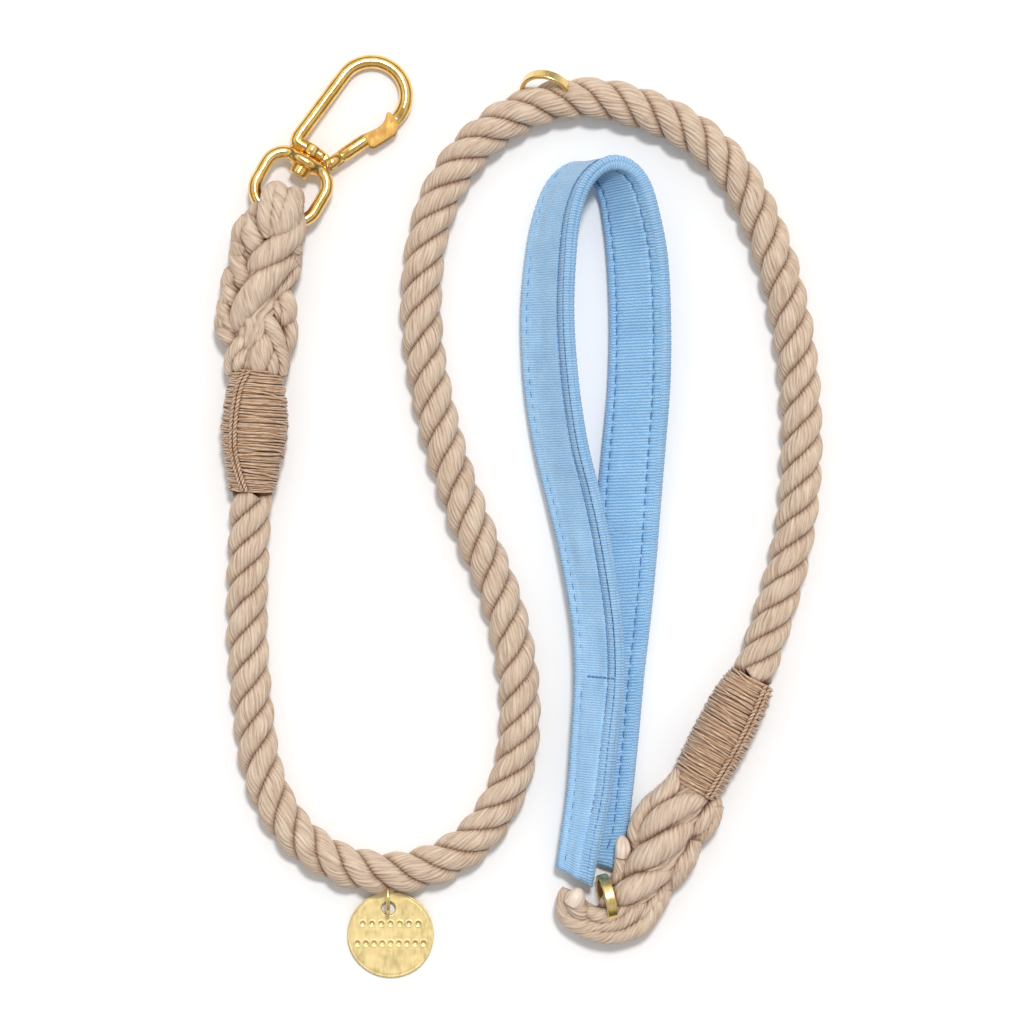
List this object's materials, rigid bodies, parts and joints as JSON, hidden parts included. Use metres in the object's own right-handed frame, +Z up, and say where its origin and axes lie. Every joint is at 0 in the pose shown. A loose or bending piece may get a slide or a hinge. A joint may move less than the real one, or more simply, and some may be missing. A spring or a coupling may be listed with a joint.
{
  "type": "rope dog lead",
  "caption": "Laid rope dog lead with a swivel snap hook, whipped eye splices, a padded fabric hand loop, a tag and accessory rings.",
  "frame": {"origin": "centre of the hook and hand loop's footprint, on the surface the lead lies on", "axes": "+X to the right and +Y away from the hand loop's sewn ends seen from above, +Z up from the surface"},
  "size_m": [0.1816, 0.2796, 0.0193],
  "materials": {
    "rope": "soft three-strand cotton rope, right-hand lay",
    "thread": "silky brown whipping thread",
    "brass": "polished brass",
    "tag_brass": "pale brushed brass",
    "outer": "light blue ribbed fabric, outer face",
    "inner": "light blue ribbed fabric, inner face",
    "webbing": "hidden webbing core",
    "stitch": "blue sewing thread",
    "steel": "spring wire"
  },
  "bodies": {
    "lead": {"rope": "rope", "hook_splice": "rope", "hook_whipping": "thread", "hook_frapping": "thread", "handle_splice": "rope", "handle_tail_left": "rope", "handle_tail_right": "rope", "handle_whipping": "thread", "handle_frapping": "thread", "handle_cover": "outer", "handle_lining": "inner", "handle_core": "webbing", "handle_piping": "outer", "handle_stitching": "stitch", "handle_tack": "stitch"},
    "eye": {"swivel_eye": "brass"},
    "snap": {"hook_body": "brass", "swivel_rivet": "brass"},
    "gate_arm": {"gate": "brass", "gate_pin": "brass", "gate_spring": "steel"},
    "shoulder_band": {"shoulder_ring": "brass"},
    "handle_band": {"handle_ring": "brass"},
    "jump": {"tag_ring": "brass"},
    "tag_disc": {"tag": "tag_brass"}
  },
  "joints": [
    {"name": "eye_tilt", "type": "hinge", "parent": "lead", "child": "eye", "pos_m": [-0.0557, 0.0782, 0.0082], "axis": [0.8695, -0.4939, 0], "range_deg": [0, 60]},
    {"name": "hook_swivel", "type": "hinge", "parent": "eye", "child": "snap", "pos_m": [-0.04672, 0.09401, 0.00616], "axis": [0.4909, 0.8641, -0.1115], "continuous": true},
    {"name": "gate_open", "type": "hinge", "parent": "snap", "child": "gate_arm", "pos_m": [-0.03874, 0.09348, 0.00577], "axis": [0.0551, 0.0969, 0.9938], "range_deg": [0, 22], "stiffness_Nm_per_rad": 0.02, "springref_deg": -28.65},
    {"name": "shoulder_ring_turn", "type": "hinge", "parent": "lead", "child": "shoulder_band", "pos_m": [0.026, 0.1146, 0.0076], "axis": [-0.2492, -0.7179, 0.6501], "continuous": true},
    {"name": "handle_ring_turn", "type": "hinge", "parent": "lead", "child": "handle_band", "pos_m": [0.0444, -0.1289, 0.0078], "axis": [0.9677, 0.2095, -0.1402], "continuous": true},
    {"name": "jump_ring_turn", "type": "hinge", "parent": "lead", "child": "jump", "pos_m": [-0.0217, -0.1288, 0.0055], "axis": [-1, 0, 0], "range_deg": [0, 40]},
    {"name": "tag_swing", "type": "hinge", "parent": "jump", "child": "tag_disc", "pos_m": [-0.0217, -0.1288, 0.0055], "axis": [-1, 0, 0], "range_deg": [0, 40]}
  ]
}
